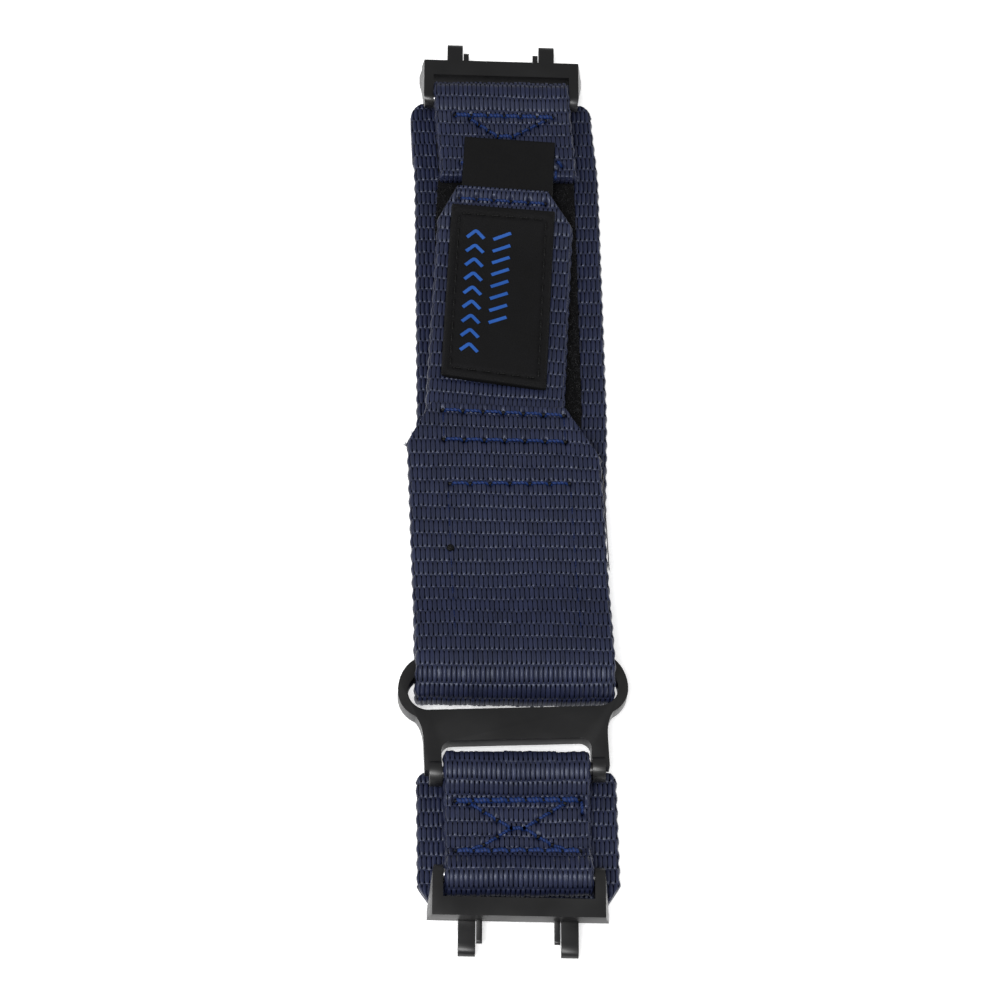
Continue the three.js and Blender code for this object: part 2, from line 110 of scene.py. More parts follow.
def mesh_object(name, points, quads, vectors=None, ngons=()):
    """An object from points, quads and a few larger faces, with named vectors on its points."""
    mesh = bpy.data.meshes.new(name)
    corners = [np.asarray(quads, dtype=np.int32).ravel()]
    totals = [np.full(len(quads), 4, dtype=np.int32)]
    for ngon in ngons:
        corners.append(np.asarray(ngon, dtype=np.int32))
        totals.append(np.array([len(ngon)], dtype=np.int32))
    corners = np.concatenate(corners)
    totals = np.concatenate(totals)
    starts = np.concatenate([[0], np.cumsum(totals)[:-1]]).astype(np.int32)
    mesh.vertices.add(len(points))
    mesh.vertices.foreach_set("co", (np.asarray(points) * MM).astype(np.float32).ravel())
    mesh.loops.add(len(corners))
    mesh.loops.foreach_set("vertex_index", corners)
    mesh.polygons.add(len(totals))
    mesh.polygons.foreach_set("loop_start", starts)
    mesh.polygons.foreach_set("loop_total", totals)
    mesh.update(calc_edges=True)
    mesh.validate()
    mesh.shade_smooth()
    for key, values in (vectors or {}).items():
        layer = mesh.attributes.new(key, "FLOAT_VECTOR", "POINT")
        layer.data.foreach_set("vector", np.asarray(values, dtype=np.float32).ravel())
    obj = bpy.data.objects.new(name, mesh)
    bpy.context.scene.collection.objects.link(obj)
    return obj


def closed_tubes(name, points, key, marks):
    """An object of closed tubes, from points and marks in order of tube, ring and place round the ring."""
    count, rings, n = points.shape[:3]
    c, i, j = np.meshgrid(np.arange(count), np.arange(rings - 1), np.arange(n), indexing="ij")
    ring = (c * rings + i) * n
    a, b = ring + j, ring + (j + 1) % n
    quads = np.stack([a, b, b + n, a + n], axis=-1).reshape(-1, 4)
    caps = []
    for first in range(0, count * rings * n, rings * n):
        caps += [first + np.arange(n)[::-1], first + (rings - 1) * n + np.arange(n)]
    return mesh_object(name, points.reshape(-1, 3), quads, {key: marks.reshape(-1, 3)}, caps)


def drift(u, s, seed, scale):
    """A slow seeded wave over a sheet, from about -1 to 1."""
    rng = np.random.default_rng(seed)
    total = 0
    for _ in range(6):
        turn = rng.normal(size=2) / scale
        total = total + np.sin(turn[0] * u + turn[1] * s + rng.uniform(0, 2 * math.pi))
    return total / 4


def share(value, start, end):
    """How far a value has come from start to end, from 0 to 1."""
    return np.clip((value - start) / (end - start), 0, 1)


# ---- runs and sheets


def line(a, b):
    """A straight stretch of a run."""
    count = max(2, int(math.dist(a, b) / 0.1))
    t = np.linspace(0, 1, count)[:, None]
    return np.array(a) * (1 - t) + np.array(b) * t


def arc(centre, radius, start, end):
    """A round stretch of a run, between two angles in degrees."""
    angle = np.radians(np.linspace(start, end, 60))
    return np.stack([centre[0] + radius * np.cos(angle), centre[1] + radius * np.sin(angle)], axis=1)


def bezier(a, b, c, d):
    """A curved stretch of a run from a to d, drawn towards b and c."""
    t = np.linspace(0, 1, 60)[:, None]
    a, b, c, d = (np.array(p) for p in (a, b, c, d))
    return a * (1 - t) ** 3 + 3 * b * t * (1 - t) ** 2 + 3 * c * t**2 * (1 - t) + d * t**3


class Sheet:
    """A run in Y and Z with its length, its left-hand normal, and a sideways shift and turn."""

    def __init__(self, *stretches, shift=None, yaw=0.0, pivot=(0.0, 0.0), sway=0.0, seed=1):
        points = np.concatenate(stretches)
        keep = np.concatenate([[True], np.linalg.norm(np.diff(points, axis=0), axis=1) > 1e-4])
        points = points[keep]
        steps = np.concatenate([[0], np.cumsum(np.linalg.norm(np.diff(points, axis=0), axis=1))])
        self.length = steps[-1]
        self.s = np.linspace(0, self.length, max(8, int(self.length / 0.08)))
        y = np.interp(self.s, steps, points[:, 0])
        z = np.interp(self.s, steps, points[:, 1])
        ty, tz = np.gradient(y, self.s), np.gradient(z, self.s)
        kernel = np.ones(7) / 7
        ty, tz = (np.convolve(np.pad(t, 3, mode="edge"), kernel, mode="valid") for t in (ty, tz))
        size = np.hypot(ty, tz)
        self.y, self.z, self.ty, self.tz = y, z, ty / size, tz / size
        self.shift, self.yaw, self.pivot, self.sway, self.seed = shift, yaw, pivot, sway, seed

    def at(self, values, s):
        """One of the sheet's own values, such as its y, at some lengths."""
        return np.interp(s, self.s, values)

    def place(self, u, s, off):
        """Points at (u, s, off) in millimetres. Past either end the run goes straight on."""
        u, s, off = np.broadcast_arrays(*(np.asarray(v, dtype=float) for v in (u, s, off)))
        inside = np.clip(s, 0, self.length)
        ty, tz = self.at(self.ty, inside), self.at(self.tz, inside)
        over = s - inside
        off = off + self.sway * drift(u, s, self.seed, 7.0)
        x = np.array(u)
        y = self.at(self.y, inside) + ty * over - tz * off
        z = self.at(self.z, inside) + tz * over + ty * off
        if self.shift is not None:
            dx, turn = self.shift(s)
            x = x + dx
            y = y + turn * u
        if self.yaw:
            px, py = self.pivot
            c, d = math.cos(self.yaw), math.sin(self.yaw)
            x, y = px + c * x - d * (y - py), py + d * x + c * (y - py)
        return np.stack([x, y, z], axis=-1)

    def s_at(self, y, after=0.0):
        """The first place after a length where the run passes a Y."""
        ok = self.s >= after
        side = np.sign(self.y[ok] - y)
        hit = np.nonzero(np.diff(side))[0]
        return self.s[ok][hit[0]] if len(hit) else self.s[ok][-1]


class Mirrored:
    """The other face of a sheet."""

    def __init__(self, sheet):
        self.sheet = sheet

    def place(self, u, s, off):
        return self.sheet.place(u, s, -np.asarray(off))


# ---- weave

YARN = 0.265  # from one warp yarn to the next
PICK = 1.69  # length of a float, and from one rib to the next
CROWN = 0.42  # how far a float stands above the next one down
BULGE = 0.27  # radius of a yarn where it floats
SCALLOP = 0.07  # how far the selvage swells at each rib
SELVAGE = 1.0  # the height that a mesh stores along its selvages, where no slit opens
CUT_ENDS = (0.45, 0.82)  # share of the thickness left at a cut end's last row and at the one before
DENT_RADIUS, DENT_DEPTH = 0.34, 0.50


def wander(u, s, seed):
    """The length along the cloth, with the picks running a little unevenly across it."""
    return s + 0.10 * drift(u, s, seed + 1, 3.0) + 0.22 * drift(u, s, seed + 2, 9.0)


def weave(u, s, seed):
    """Height of a warp-faced plain weave, from 0 where a yarn dips to CROWN on the floats."""
    rng = np.random.default_rng(seed)
    uneven = 1 + 0.10 * rng.normal(size=(256, 256)).clip(-1.6, 1.6)
    p = wander(u, s, seed) / PICK
    index = np.floor(u / YARN)
    best = np.full(np.broadcast(u, s).shape, -1.0)
    for near in (-1, 0, 1):
        yarn = index + near
        wave = np.cos(math.pi * (p + yarn))
        pick = np.floor((p + yarn + 1) / 2)
        rise = CROWN * np.sin(math.pi / 2 * np.clip((wave + 0.6) / 1.1, 0, 1))
        rise = rise * uneven[yarn.astype(int) % 256, pick.astype(int) % 256]
        away = np.abs(u - (yarn + 0.5) * YARN) / BULGE
        best = np.maximum(best, rise + BULGE * (np.clip(1 - away**4, 0, 1) ** 0.25 - 1))
    return best


class Cut:
    """Where the cloth's two edges are along its length, measured from its middle."""

    def __init__(self, half, left=None, right=None):
        def straight(s):
            return np.full_like(s, half)

        self.half, self.left, self.right = half, left or straight, right or straight


def columns(half, fine, margin=None):
    """Places across the cloth: fine over it all, or fine within a margin of each edge."""
    every = np.linspace(-half, half, 2 * round(half / fine) + 1)
    if margin is None:
        return every
    middle = np.arange(-half + margin, half - margin, 1.2)
    return np.concatenate([every[every < -half + margin - 0.01], middle, every[every > half - margin]])


def strip(
    name, sheet, s0, s1, cut, thick, step, outer, inner, relief_out=None, relief_in=None,
    edge=0.45, hem=0.12, scallop=0.0, seed=None,
):
    """A closed strip of cloth between two lengths of a sheet, built row by row round its section."""
    rows = np.linspace(s0, s1, max(3, round((s1 - s0) / step) + 1))
    rows = np.concatenate([[s0 - hem, s0 - hem * 0.5], rows, [s1 + hem * 0.5, s1 + hem]])
    swell = np.ones(len(rows))
    swell[[0, -1]], swell[[1, -2]] = CUT_ENDS
    faces = [(outer, 1, relief_out), (inner[::-1][1:-1], -1, relief_in)]
    held = np.clip(rows, s0, s1)
    left, right = cut.left(held)[:, None], cut.right(held)[:, None]
    points, marks = [], []
    for across, side, relief in faces:
        u, s = np.meshgrid(across, rows)
        reach = np.where(u < 0, left, right)
        room = np.maximum(cut.half - reach, 1e-6)
        past = np.clip((np.abs(u) - reach) / room, 0, 1) * (room > 0.02)
        near = np.clip((np.minimum(np.abs(u), reach) - (cut.half - edge)) / edge, 0, 1)
        body = np.sqrt(np.clip(1 - near**2, 0, 1))
        height = relief(u, s) if relief is not None else np.zeros_like(u)
        half = thick / 2 * body * swell[:, None]
        off = (half + height * np.minimum(body, swell[:, None])) * np.cos(past * math.pi / 2)
        x = np.clip(u, -left, right) + np.sign(u) * 0.15 * np.sin(past * math.pi / 2) * (past > 0)
        rib = np.cos(2 * math.pi * s / PICK + (u > 0) * math.pi)
        x = x + np.sign(u) * scallop * near * (past == 0) * rib
        points.append(sheet.place(x, s, side * off))
        picks = s if seed is None else wander(u, s, seed)
        marks.append(np.stack([u, picks, np.where(near > 0.5, SELVAGE, height)], axis=-1))
    points = np.concatenate(points, axis=1)
    marks = np.concatenate(marks, axis=1)
    return closed_tubes(name, points[None], "cloth", marks[None])


def dents_at(holes):
    """A relief that pulls the cloth down round the needle holes."""
    holes = np.asarray(holes, dtype=float).reshape(-1, 2)

    def pull(u, s):
        low = np.zeros_like(u)
        for hu, hs in holes:
            near = (np.abs(u - hu) < 3 * DENT_RADIUS) & (np.abs(s - hs) < 3 * DENT_RADIUS)
            if near.any():
                away = ((u[near] - hu) ** 2 + (s[near] - hs) ** 2) / DENT_RADIUS**2
                low[near] = np.minimum(low[near], -DENT_DEPTH * np.exp(-away))
        return low

    return pull


def woven(seed, holes=()):
    """The relief of one face of the webbing, its floats slightly uneven and dented at the needle holes."""
    pull = dents_at(holes)

    def relief(u, s):
        return weave(u, s, seed) - CROWN * 0.82 + 0.05 * drift(u, s, seed + 5, 2.5) + pull(u, s)

    return relief


# ---- threads and fibres


def tubes(name, paths, radius, sides=8, ply=0.0, taper=False):
    """Threads along a stack of paths, all with as many points. Two plies show where ply is above 0."""
    paths = np.asarray(paths, dtype=float)
    count, steps = paths.shape[:2]
    along = np.gradient(paths, axis=1)
    along /= np.linalg.norm(along, axis=2, keepdims=True) + 1e-12
    up = np.zeros_like(along)
    up[..., 2] = 1
    steep = np.abs(along[..., 2]) > 0.97
    up[steep] = (0, 1, 0)
    side = np.cross(along, up)
    side /= np.linalg.norm(side, axis=2, keepdims=True) + 1e-12
    rise = np.cross(side, along)
    angle = np.linspace(0, 2 * math.pi, sides, endpoint=False)
    progress = np.linspace(0, 1, steps)
    size = np.broadcast_to(np.asarray(radius, dtype=float).reshape(-1, 1), (count, steps)).copy()
    if taper:
        size *= np.clip(1.15 - progress, 0.25, 1)
    twist = 2 * (angle + 2 * math.pi * progress[:, None])
    size = size[..., None] * (1 + ply * np.cos(twist)[None])
    outward = np.cos(angle)[:, None] * side[:, :, None] + np.sin(angle)[:, None] * rise[:, :, None]
    ring = paths[:, :, None] + size[..., None] * outward
    marks = np.zeros((count, steps, sides, 3))
    marks[..., 0] = angle / (2 * math.pi)
    marks[..., 1] = progress[:, None]
    marks[..., 2] = (np.arange(count) * 0.618 % 1)[:, None, None]
    return closed_tubes(name, ring, "strand", marks)


def seam_holes(a, b, count):
    """Needle holes of a row of stitches from a to b."""
    t = np.linspace(0, 1, count + 1)[:, None]
    return np.array(a) * (1 - t) + np.array(b) * t


def stitch_paths(sheet, holes, top, sink=0.5, high=0.10, gap=0.12, steps=13):
    """One path for each stitch between neighbouring holes, going down into the cloth at both ends."""
    paths = []
    for a, b in zip(holes[:-1], holes[1:]):
        span = math.dist(a, b)
        t = np.linspace(gap / span, 1 - gap / span, steps)
        u = a[0] + (b[0] - a[0]) * t
        s = a[1] + (b[1] - a[1]) * t
        lift = 1 - np.abs(np.linspace(-1, 1, steps)) ** 5
        paths.append(sheet.place(u, s, top - sink + (sink + high) * lift))
    return paths


def pile(name, sheet, half, s0, s1, off, per_mm2, seed):
    """Small loops of fibre standing on a sheet, scattered over its width from one length to another."""
    rng = np.random.default_rng(seed)
    count = int(2 * half * (s1 - s0) * per_mm2)
    u, s = rng.uniform(-half, half, count), rng.uniform(s0, s1, count)
    heading = rng.uniform(0, 2 * math.pi, count)
    span = rng.uniform(0.25, 0.8, count)[:, None]
    tall = rng.uniform(0.3, 0.7, count)[:, None]
    lean = rng.normal(0, 0.25, (count, 2))
    t = np.linspace(0, 1, 6)[None]
    arch = np.sin(t * math.pi)
    du = np.cos(heading)[:, None] * span * (t - 0.5) + lean[:, :1] * arch
    ds = np.sin(heading)[:, None] * span * (t - 0.5) + lean[:, 1:] * arch
    across = np.clip(u[:, None] + du, -half - 0.15, half + 0.15)
    loops = sheet.place(across, s[:, None] + ds, off - 0.1 + tall * arch)
    return tubes(name, loops, 0.02, sides=3)


# ---- materials


class Nodes:
    """A material's node tree with short calls to add and join nodes."""

    def __init__(self, name):
        self.material = bpy.data.materials.new(name)
        self.material.use_nodes = True
        self.tree = self.material.node_tree
        self.tree.nodes.clear()
        out = self.add("ShaderNodeOutputMaterial")
        self.shader = self.add("ShaderNodeBsdfPrincipled")
        self.join(self.shader.outputs["BSDF"], out.inputs["Surface"])

    def add(self, kind, **settings):
        node = self.tree.nodes.new(kind)
        for key, value in settings.items():
            setattr(node, key, value)
        return node

    def join(self, source, target):
        self.tree.links.new(source, target)

    def put(self, socket, value):
        """Links a node's output to a socket, or sets the socket to a plain value."""
        if isinstance(value, bpy.types.NodeSocket):
            self.join(value, socket)
        else:
            socket.default_value = value

    def attribute(self, name):
        return self.add("ShaderNodeAttribute", attribute_name=name).outputs["Vector"]

    def split(self, vector):
        node = self.add("ShaderNodeSeparateXYZ")
        self.join(vector, node.inputs[0])
        return node.outputs

    def vector(self, x, y, z):
        node = self.add("ShaderNodeCombineXYZ")
        for socket, value in zip(node.inputs, (x, y, z)):
            self.put(socket, value)
        return node.outputs[0]

    def math(self, operation, a, b=0.0, clamp=False):
        """One arithmetic node."""
        node = self.add("ShaderNodeMath", operation=operation, use_clamp=clamp)
        self.put(node.inputs[0], a)
        self.put(node.inputs[1], b)
        return node.outputs[0]

    def plus(self, a, b):
        return self.math("ADD", a, b)

    def times(self, a, b, clamp=False):
        return self.math("MULTIPLY", a, b, clamp)

    def noise(self, vector, scale, detail=3.0, rough=0.5):
        node = self.add("ShaderNodeTexNoise")
        self.join(vector, node.inputs["Vector"])
        node.inputs["Scale"].default_value = scale
        node.inputs["Detail"].default_value = detail
        node.inputs["Roughness"].default_value = rough
        return node.outputs["Fac"]

    def range(self, value, a, b, to_a=0.0, to_b=1.0, smooth=False):
        node = self.add("ShaderNodeMapRange")
        if smooth:
            node.interpolation_type = "SMOOTHSTEP"
        for socket, number in zip(node.inputs, (value, a, b, to_a, to_b)):
            self.put(socket, number)
        return node.outputs[0]

    def mix(self, share, a, b, blend="MIX"):
        node = self.add("ShaderNodeMix", data_type="RGBA", blend_type=blend)
        colours = [s for s in node.inputs if s.type == "RGBA"]
        self.put(node.inputs[0], share)
        self.put(colours[0], a)
        self.put(colours[1], b)
        return [s for s in node.outputs if s.type == "RGBA"][0]

    def bump(self, height, strength, distance, after=None):
        node = self.add("ShaderNodeBump")
        node.inputs["Strength"].default_value = strength
        node.inputs["Distance"].default_value = distance
        self.join(height, node.inputs["Height"])
        if after is not None:
            self.join(after, node.inputs["Normal"])
        return node.outputs[0]

    def surface(self, **values):
        for key, value in values.items():
            self.put(self.shader.inputs[key.replace("_", " ")], value)
        return self.material


def colour(rgb):
    """A linear colour from display values of 0 to 255."""
    return tuple((v / 255) ** 2.2 for v in rgb) + (1.0,)


def webbing_material(name, crest, gap, shine):
    """Nylon in a warp-faced weave: floats with a painted shade, the gap colour, in the slits and deep
    grooves between them, each float its own tone.
    """
    n = Nodes(name)
    u, s, height = n.split(n.attribute("cloth"))
    q = n.plus(n.times(u, 1 / YARN), -0.5)
    p = n.times(s, 1 / PICK)
    row = n.math("ROUND", p)
    lane = n.plus(q, row)
    aside = n.math("PINGPONG", lane, 1.0)
    ahead = n.math("PINGPONG", p, 0.5)
    half = n.range(ahead, 0.15, 0.5, 0.87, 0.62, smooth=True)
    # Where a slit opens between floats, the colour goes to the gap colour, a painted shade.
    slit = n.range(n.math("SUBTRACT", aside, half), -0.05, 0.09, smooth=True)
    slit = n.times(slit, n.range(ahead, 0.38, 0.48, 1.0, 0.15, smooth=True))
    inside = n.range(height, 0.2, 0.9, 1.0, 0.25)
    slit = n.times(slit, inside)
    float_id = n.vector(n.math("ROUND", n.times(lane, 0.5)), row, 0.0)
    own = n.add("ShaderNodeTexWhiteNoise", noise_dimensions="3D")
    n.join(float_id, own.inputs["Vector"])
    filament = n.noise(n.vector(u, n.times(s, 0.06), 0.0), 16.0, 2.0, 0.6)
    slow = n.noise(n.vector(u, s, 0.0), 0.10, 2.0)
    streaks = n.range(filament, 0.3, 0.7, 0.62, 1.40)
    tone = n.times(streaks, n.range(slow, 0.3, 0.7, 0.88, 1.12))
    tone = n.times(tone, n.range(own.outputs["Value"], 0.0, 1.0, 0.86, 1.14))
    # Deep in the grooves the colour also darkens to the gap colour: painted shade.
    sunk = n.range(height, -0.42, -0.24, smooth=True)
    shown = n.times(n.math("SUBTRACT", 1.0, slit), sunk)
    # The float's own colour where it shows, and painted shade in the slits and grooves.
    base = n.mix(shown, colour(gap), colour(crest))
    shade = n.mix(1.0, base, n.vector(tone, tone, tone), "MULTIPLY")
    rough = n.range(filament, 0.3, 0.7, shine + 0.08, shine - 0.06)
    dive = n.math("POWER", n.times(ahead, 2.0), 6.0)
    dome = n.math("POWER", aside, 2.0)
    round_off = n.plus(n.times(dive, 0.75), n.times(dome, 0.3))
    form = n.math("SUBTRACT", shown, round_off)
    relief = n.bump(form, 0.8, 0.00014)
    normal = n.bump(filament, 0.3, 0.00005, relief)
    gloss = n.times(n.range(shown, 0.0, 1.0, 0.03, 0.42), inside)
    n.join(gloss, n.shader.inputs["Specular IOR Level"])
    n.shader.inputs["Specular Tint"].default_value = (0.80, 0.86, 1.0, 1.0)
    return n.surface(Base_Color=shade, Roughness=rough, Normal=normal)


def thread_material(name, light, dark):
    """Sewing thread: two plies twisted round each other, the grooves between them darkened by painted
    shade.
    """
    n = Nodes(name)
    light, dark = colour(light), colour(dark)
    around, along, which = n.split(n.attribute("strand"))
    twist = n.plus(n.times(around, 2.0), n.times(along, 5.0))
    ply = n.math("ABSOLUTE", n.math("SINE", n.times(twist, math.pi)))
    fine = n.noise(n.vector(n.times(twist, 6.0), along, which), 5.0, 2.0)
    # Darker in the grooves between the plies: painted shade. The fine noise mixed in below is the thread's
    # own uneven tone.
    tone = n.mix(n.range(ply, 0.1, 0.8), dark, light)
    shade = n.mix(0.35, tone, n.mix(fine, dark, light))
    normal = n.bump(n.plus(ply, n.times(fine, 0.4)), 0.6, 0.00008)
    n.shader.inputs["Specular IOR Level"].default_value = 0.25
    return n.surface(Base_Color=shade, Roughness=n.range(fine, 0.3, 0.7, 0.62, 0.45), Normal=normal)


def fibre_material(name, light, dark):
    """Thin nylon or hook filaments, each its own tone, darkened towards its root by painted shade."""
    n = Nodes(name)
    _, along, which = n.split(n.attribute("strand"))
    # Each strand's own tone, darkened towards its root by a painted shade.
    shade = n.mix(n.times(which, n.range(along, 0.0, 0.6, 0.5, 1.0)), colour(dark), colour(light))
    return n.surface(Base_Color=shade, Roughness=n.range(which, 0.0, 1.0, 0.55, 0.8))


def grained_material(name, base, worn, scale, rough, depth):
    """Coated cloth with a fine leather grain."""
    n = Nodes(name)
    u, s, _ = n.split(n.attribute("cloth"))
    place = n.vector(u, s, 0.0)
    cells = n.add("ShaderNodeTexVoronoi", feature="DISTANCE_TO_EDGE")
    n.join(place, cells.inputs["Vector"])
    cells.inputs["Scale"].default_value = scale
    crease = n.range(cells.outputs["Distance"], 0.0, 0.12, smooth=True)
    fine = n.noise(place, scale * 3.0, 3.0)
    slow = n.noise(place, 0.25, 3.0)
    shade = n.mix(n.range(slow, 0.35, 0.7), colour(base), colour(worn))
    normal = n.bump(n.plus(crease, n.times(fine, 0.5)), 0.5, depth)
    n.shader.inputs["Specular IOR Level"].default_value = 0.2
    return n.surface(
        Base_Color=shade, Roughness=n.range(fine, 0.3, 0.7, rough - 0.08, rough + 0.08), Normal=normal
    )


def satin_material(name, base, light, rough, metal):
    """Black coated metal: an even satin, a trace of orange peel and lighter rubbed edges."""
    n = Nodes(name)
    place = n.add("ShaderNodeTexCoord").outputs["Object"]
    peel = n.noise(place, 5200.0, 2.0)
    smear = n.noise(place, 260.0, 4.0)
    edge = n.split(n.attribute("edge"))[0]
    rub = n.times(edge, n.range(smear, 0.35, 0.75), clamp=True)
    shade = n.mix(rub, colour(base), colour(light))
    uneven = n.range(smear, 0.3, 0.7, rough - 0.06, rough + 0.06)
    finish = n.plus(uneven, n.times(rub, -0.05))
    n.shader.inputs["Metallic"].default_value = metal
    return n.surface(Base_Color=shade, Roughness=finish, Normal=n.bump(peel, 0.12, 0.00003))


# The second colour is the painted shade in the slits and grooves, not a colour of the nylon.
NAVY = webbing_material("navy_nylon", (35, 39, 60), (2, 2, 4), 0.40)
BLUE_THREAD = thread_material("blue_thread", (30, 54, 108), (7, 12, 30))
DIM_THREAD = thread_material("navy_thread", (22, 38, 80), (8, 13, 30))
BLACK_THREAD = thread_material("black_thread", (12, 12, 13), (3, 3, 4))
MELTED = fibre_material("melted_nylon", (120, 112, 100), (60, 58, 60))
LOOSE = fibre_material("loose_filament", (84, 90, 120), (30, 34, 56))
LOOP_PILE = fibre_material("loop_fibre", (30, 31, 36), (7, 7, 9))
LOOP_GROUND = grained_material("loop_ground", (8, 8, 10), (12, 12, 15), 3.0, 0.9, 0.00012)
HOOKS = fibre_material("hook_fibre", (46, 47, 52), (18, 18, 21))
HOOK_GROUND = grained_material("hook_ground", (24, 24, 28), (30, 30, 34), 4.0, 0.7, 0.00003)
LEATHERETTE = grained_material("label_leatherette", (13, 13, 14), (16, 16, 18), 3.4, 0.75, 5e-5)
TAPE = grained_material("pull_tape", (14, 14, 15), (17, 17, 18), 6.0, 0.75, 0.00003)
PRINT = grained_material("label_print", (38, 80, 152), (46, 90, 166), 5.0, 0.5, 0.00002)
HARDWARE = {
    "black_hardware": satin_material("black_satin", (20, 20, 21), (44, 44, 46), 0.38, 0.0),
    "pin_steel": satin_material("pin_steel", (150, 150, 153), (200, 200, 204), 0.3, 1.0),
    "dark_steel": satin_material("dark_steel", (84, 84, 87), (130, 130, 134), 0.38, 1.0),
}


def dress(obj, material, slot, body=None, *nodes):
    """Gives a piece its material and the body it rides on, and hides the CAD nodes it stands for. Its slot
    is not used.
    """
    obj.data.materials.append(material)
    if nodes:
        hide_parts(*nodes)
    if body is not None:
        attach(obj, body)
    return obj


def webbing(name, sheet, s0, s1, cut, thick, seed, body, node, rows=(), inner_margin=None):
    """Woven nylon with both its faces, its selvages scalloped, and dented along rows of stitches."""
    outer = columns(cut.half, YARN / 2)
    inner = columns(cut.half, YARN / 2, inner_margin)
    holes = [hole for row in rows for hole in seam_holes(*row[:3])]
    cloth = strip(
        name, sheet, s0, s1, cut, thick, PICK / 6, outer, inner, woven(seed, holes), woven(seed),
        scallop=SCALLOP, seed=seed,
    )
    return dress(cloth, NAVY, "navy_webbing", body, node)


def seam(name, paths, radius, thread, body):
    """Stitches of two-ply thread on webbing."""
    dress(tubes(name, paths, radius, ply=0.16), thread, "navy_webbing", body)


def knots(name, sheet, holes, top, body, radius=0.19):
    """The dark knots where a seam's stitches go down through the webbing."""
    off = np.array([top - 0.4, top - 0.1, top + 0.05])
    paths = [sheet.place(np.full(3, u), np.full(3, s), off) for u, s in holes]
    dress(tubes(name, paths, radius), BLACK_THREAD, "navy_webbing", body)


def box_seam(part, sheet, rows, body, marked, top, radius):
    """Rows of stitches (from, to, count, radius) on narrow webbing, with marks on the first few."""
    holes = [seam_holes(*row[:3]) for row in rows]
    paths = [stitch_paths(sheet, row, THIN / 2 - 0.08) for row in holes]
    radii = np.concatenate([[row[3]] * len(stitches) for row, stitches in zip(rows, paths)])
    seam(f"{part}_box_seam", sum(paths, []), radii, BLUE_THREAD, body)
    knots(f"{part}_box_holes", sheet, np.concatenate(holes[:marked]), top, body, radius)


def fray(name, sheet, ends, seed, body):
    """Short loose filaments at cut edges, from (u, s, heading in degrees, spread, count)."""
    rng = np.random.default_rng(seed)
    t = np.linspace(0, 1, 7)
    paths = []
    for u, s, heading, spread, count in ends:
        for _ in range(count):
            angle = math.radians(heading + rng.normal(0, 28))
            reach = rng.uniform(0.25, 0.75)
            curl = rng.normal(0, 0.3)
            du = np.cos(angle) * reach * t - np.sin(angle) * curl * t**2 * reach
            ds = np.sin(angle) * reach * t + np.cos(angle) * curl * t**2 * reach
            u0, s0 = u + rng.uniform(-spread, spread), s + rng.uniform(-0.1, 0.1)
            paths.append(sheet.place(u0 + du, s0 + ds, rng.uniform(-0.3, 0.45) + 0.1 * t))
    dress(tubes(name, paths, 0.022, sides=4, taper=True), LOOSE, "navy_webbing", body)


# ---- wide webbing

FOLD_R = RING[2] - WEB / 2
RETURN_Z = (FLAP_LOW[2] + FLAP_HIGH[2]) / 2
BOW = 0.6
FOLD_SAG = 0.35  # how far the fold stands off the ring bar
RETURN_SHIFT = -0.8  # the return layer lies a little to the left by its end
END_SKEW = -0.045  # slope of its cut end, which is sewn on askew
BASE_HALF = WIDE / 2


def folded_sheet(offset=0.0):
    """A layer of the fold from the top end, round the ring bar and back to the return layer's cut end."""
    y, z, r = RING[1] - FOLD_SAG, RING[2], FOLD_R - offset
    flat = RETURN_Z - offset
    sheet = Sheet(
        line((MAIN_HIGH[1], z - r), (y, z - r)),
        arc((y, z), r, -90, -270),
        bezier((y, z + r), (y + 5, z + r), (y + 7, flat), (y + 12, flat)),
        line((y + 12, flat), (FLAP_HIGH[1], flat)),
        sway=0.05, seed=3,
    )
    turned = MAIN_HIGH[1] - y + math.pi * r

    def shift(s):
        back = share(s, turned, sheet.length)
        base = bow(MAIN_HIGH[1] - s) * (s < turned)
        return base + RETURN_SHIFT * back, END_SKEW * share(back, 0.7, 1)

    sheet.shift = shift
    sheet.turned = turned
    return sheet


def bow(y):
    """How far the strap lies to the right of a straight line at a Y: it is laid in a slight curve."""
    rise = share(y, MAIN_HIGH[1], MAIN_HIGH[1] - 12) * share(y, -10, 10)
    return BOW * rise * rise * (3 - 2 * rise)


def blunt(half, depth, start, end):
    """An edge cut in towards the middle by a depth between two lengths."""

    def reach(s):
        return half - depth * share(s, start, end)

    return reach


def round_corner(half, radius, s0, s1, low=True, high=True):
    """An edge rounded at one or both of its ends."""

    def reach(s):
        away = np.full_like(s, radius)
        if low:
            away = np.minimum(away, s - s0)
        if high:
            away = np.minimum(away, s1 - s)
        away = np.clip(away, 0, radius)
        return half - radius + np.sqrt(radius**2 - (radius - away) ** 2)

    return reach


MAIN = folded_sheet()
SPLIT_S = MAIN_HIGH[1] - RING[1] + math.pi * FOLD_R * 0.2
RETURN_END = MAIN.length - 0.15


def on_return(u, y):
    """A point of the return layer, at u across and a Y of the band."""
    return u, MAIN.s_at(y, MAIN.turned)


CHAMFER_S = on_return(0, 1.65)[1]
LEFT_CUT = blunt(BASE_HALF, 3.0, CHAMFER_S, RETURN_END)
RIGHT_CUT = blunt(BASE_HALF, 3.8, on_return(0, -0.05)[1], RETURN_END)

